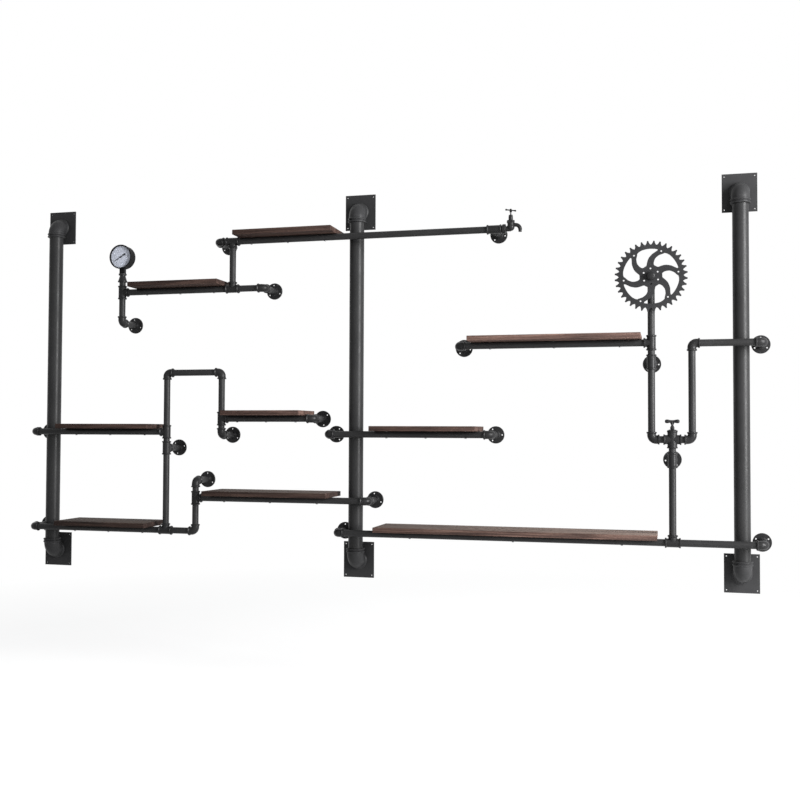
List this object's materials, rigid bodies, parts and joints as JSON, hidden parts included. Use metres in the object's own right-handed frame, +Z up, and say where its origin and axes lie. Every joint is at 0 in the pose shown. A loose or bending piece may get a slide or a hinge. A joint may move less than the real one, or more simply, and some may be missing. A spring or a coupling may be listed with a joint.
{
  "type": "wall-mounted pipe shelving unit",
  "caption": "Wall shelving unit of dark painted steel pipe: thick columns on wall plates, thin pipe runs on round flanges, walnut boards, a gauge, a tap, a wing valve and a toothed wheel.",
  "frame": {"origin": "on the wall face behind the middle column's axis, half way up the column", "axes": "+X to the right along the wall, +Y into the wall, +Z up; the wall is the plane Y = 0 and the front faces -Y"},
  "size_m": [3.1299, 0.205, 1.6],
  "materials": {
    "paint": "matte",
    "wood": "satin",
    "steel": "satin",
    "dial": "matte",
    "pointer": "matte",
    "glass": "gloss"
  },
  "bodies": {
    "frame": {"column_left": "paint", "column_middle": "paint", "column_right": "paint", "column_elbows": "paint", "column_nipples": "paint", "wall_plates": "paint", "board_top_left": "wood", "board_middle": "wood", "board_gauge": "wood", "board_left": "wood", "board_centre": "wood", "board_right": "wood", "board_low_left": "wood", "board_low_centre": "wood", "board_low_right": "wood", "rail_top": "paint", "rail_gauge": "paint", "rail_left": "paint", "rail_centre": "paint", "rail_right": "paint", "rail_low_left": "paint", "rail_low_centre": "paint", "rail_low_right": "paint", "rail_middle": "paint", "risers_upper": "paint", "risers_right": "paint", "risers_lower": "paint", "link_pipes": "paint", "close_nipples": "paint", "wall_nipples": "paint", "tees_upper": "paint", "tees_right": "paint", "tees_lower": "paint", "cross_fitting": "paint", "elbows_upper": "paint", "elbows_right": "paint", "elbows_lower": "paint", "flanges_upper": "paint", "flanges_right": "paint", "flanges_lower": "paint", "wheel_elbow": "paint", "wheel_nipple": "paint", "wheel_cap": "paint", "gauge_socket": "paint", "gauge_case": "paint", "gauge_dial": "dial", "gauge_glass": "glass", "gauge_bezel": "paint", "tap_body": "paint", "tap_bonnet": "paint", "valve_bonnet": "paint", "board_screws": "steel"},
    "pointer": {"gauge_pointer": "pointer"},
    "jumper": {"tap_jumper": "steel"},
    "tap_spindle": {"tap_spindle": "steel", "tap_handle": "paint"},
    "valve": {"valve_spindle": "steel", "valve_handle": "paint"},
    "wheel": {"toothed_wheel": "paint"}
  },
  "joints": [
    {"name": "pointer_turn", "type": "hinge", "parent": "frame", "child": "pointer", "pos_m": [-1.044, -0.13, 0.5592], "axis": [0, 1, 0], "range_deg": [-15, 255]},
    {"name": "jumper_lift", "type": "slide", "parent": "frame", "child": "jumper", "axis": [0, 0, 1], "range_m": [0, 0.0027]},
    {"name": "tap_turn", "type": "hinge", "parent": "jumper", "child": "tap_spindle", "pos_m": [0.653, -0.12, 0.66], "axis": [0, 0, 1], "range_deg": [0, 540]},
    {"name": "valve_turn", "type": "hinge", "parent": "frame", "child": "valve", "pos_m": [1.264, -0.12, -0.17], "axis": [0, 0, 1], "range_deg": [0, 90]},
    {"name": "wheel_spin", "type": "hinge", "parent": "frame", "child": "wheel", "pos_m": [1.1885, -0.1518, 0.3946], "axis": [0, 1, 0], "continuous": true}
  ],
  "couplings": [
    {"joint": "tap_turn", "follows": "jumper_lift", "rad_per_m": 3490.7}
  ]
}
